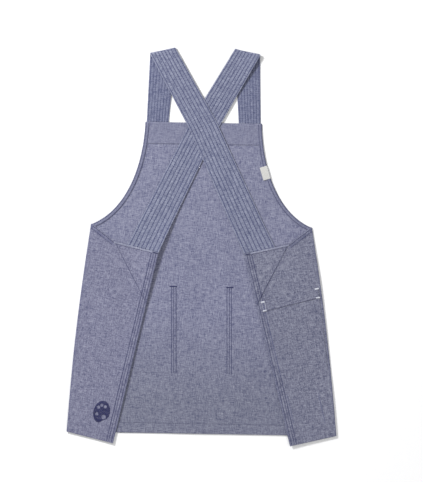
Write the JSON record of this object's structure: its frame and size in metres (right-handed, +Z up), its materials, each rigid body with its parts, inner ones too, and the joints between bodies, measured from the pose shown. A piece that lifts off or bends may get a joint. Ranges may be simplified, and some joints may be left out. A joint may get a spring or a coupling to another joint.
{
  "type": "artist smock apron",
  "caption": "Cross-back artist's apron in blue chambray, laid flat with its back up: wings folded in over the front, quilted straps crossing, patch pockets and a small label.",
  "frame": {"origin": "middle of the laid-flat outline, on the surface that the apron lies on", "axes": "+X to the right and +Y towards the shoulder folds as seen from above, +Z up out of the surface"},
  "size_m": [0.6734, 0.9963, 0.0065],
  "materials": {
    "chambray": "matt heathered chambray, lavender-blue with navy slubs",
    "strap_cloth": "matt chambray, quilted with rows of navy topstitching",
    "navy_thread": "matt navy sewing thread",
    "white_thread": "matt white bar-tack thread",
    "label_tape": "matt off-white woven tape"
  },
  "bodies": {
    "front": {"front_panel": "chambray", "bib_facing": "chambray", "front_hem": "chambray", "left_armhole_binding": "chambray", "right_armhole_binding": "chambray", "left_front_pocket": "chambray", "right_front_pocket": "chambray", "front_pocket_bar_tacks": "navy_thread", "left_side_fold": "chambray", "right_side_fold": "chambray", "left_strap_front": "strap_cloth", "right_strap_front": "strap_cloth", "left_shoulder_fold": "strap_cloth", "right_shoulder_fold": "strap_cloth", "left_strap_rear": "strap_cloth", "right_strap_rear": "strap_cloth"},
    "left_wing_flap": {"left_wing": "chambray", "left_wing_edge_hem": "chambray", "left_wing_bottom_hem": "chambray", "left_wing_binding": "chambray", "left_corner_patch": "chambray", "palette_motif": "navy_thread"},
    "right_wing_flap": {"right_wing": "chambray", "right_wing_edge_hem": "chambray", "right_wing_bottom_hem": "chambray", "right_wing_binding": "chambray", "right_corner_patch": "chambray", "wing_pocket": "chambray", "wing_pocket_mouth_hem": "chambray", "wing_pocket_bar_tacks": "white_thread"},
    "right_strap_end": {"right_strap_tail": "strap_cloth"},
    "left_strap_end": {"left_strap_tail": "strap_cloth"},
    "label": {"size_label": "label_tape"}
  },
  "joints": [
    {"name": "left_wing_fold", "type": "hinge", "parent": "front", "child": "left_wing_flap", "pos_m": [-0.2737, 0.05719, 0.0043], "axis": [-0.1167, -0.9932, 0], "range_deg": [0, 25]},
    {"name": "right_wing_fold", "type": "hinge", "parent": "front", "child": "right_wing_flap", "pos_m": [0.3347, -0.47301, 0.0043], "axis": [-0.1163, 0.9932, 0], "range_deg": [0, 25]},
    {"name": "right_tail_bend", "type": "hinge", "parent": "front", "child": "right_strap_end", "pos_m": [0.00029, 0.21149, 0.0043], "axis": [-0.8335, -0.5525, 0], "range_deg": [0, 34]},
    {"name": "left_tail_bend", "type": "hinge", "parent": "front", "child": "left_strap_end", "pos_m": [0.12216, 0.12853, 0.0043], "axis": [-0.8127, 0.5827, 0], "range_deg": [0, 34]},
    {"name": "label_flip", "type": "hinge", "parent": "front", "child": "label", "pos_m": [0.17236, 0.17079, 0.0033], "axis": [-0.2829, 0.9592, 0], "range_deg": [0, 170]}
  ],
  "couplings": [
    {"joint": "right_tail_bend", "follows": "left_wing_fold", "ratio": 1.35},
    {"joint": "left_tail_bend", "follows": "right_wing_fold", "ratio": 1.35}
  ]
}
